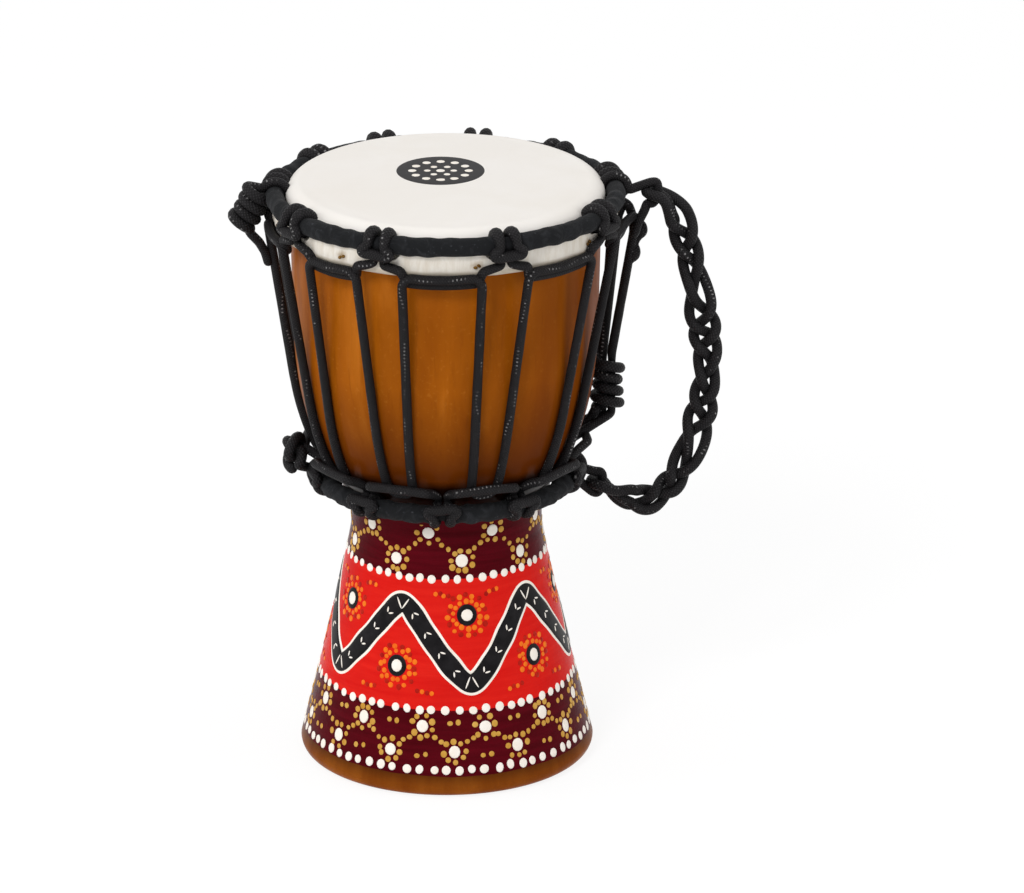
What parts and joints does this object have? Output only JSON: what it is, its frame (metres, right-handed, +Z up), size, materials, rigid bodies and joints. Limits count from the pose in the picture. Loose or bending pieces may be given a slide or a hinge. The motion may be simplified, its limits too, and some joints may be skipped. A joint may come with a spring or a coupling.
{
  "type": "goblet hand drum",
  "caption": "Small goblet-shaped wooden hand drum with a rope-laced skin, cloth-wrapped tension rings and a plaited carrying strap.",
  "frame": {"origin": "centre of the foot's rim on the drum's axis, where the drum stands", "axes": "+Z up along the drum's axis to the playing skin; the front of the picture faces -Y and the carrying strap hangs at +X"},
  "size_m": [0.1719, 0.1289, 0.2124],
  "materials": {
    "turned_wood": "gloss paint over turned wood",
    "goat_skin": "dry rawhide",
    "ring_steel": "plain wire",
    "ring_cloth": "matt woven cloth",
    "black_cord": "matt braided cord"
  },
  "bodies": {
    "drum": {"shell": "turned_wood", "drum_skin": "goat_skin", "flesh_hoop": "ring_steel", "crown_ring_core": "ring_steel", "crown_ring_sleeve": "ring_cloth", "waist_ring_core": "ring_steel", "waist_ring_sleeve": "ring_cloth", "crown_loops": "black_cord", "waist_loops": "black_cord", "lacing_rope": "black_cord", "strap_bail_top": "black_cord", "strap_bail_foot": "black_cord", "crown_tail_knot": "black_cord", "waist_tail_knot": "black_cord", "lacing_end_knots": "black_cord", "tail_hank": "black_cord"},
    "strap": {"strap_plait": "black_cord"}
  },
  "joints": [
    {"name": "strap_swing", "type": "hinge", "parent": "drum", "child": "strap", "pos_m": [0.0731, 0.00768, 0.2022], "axis": [0.1741, 0.0183, 0.9846], "range_deg": [-60, 60]}
  ]
}
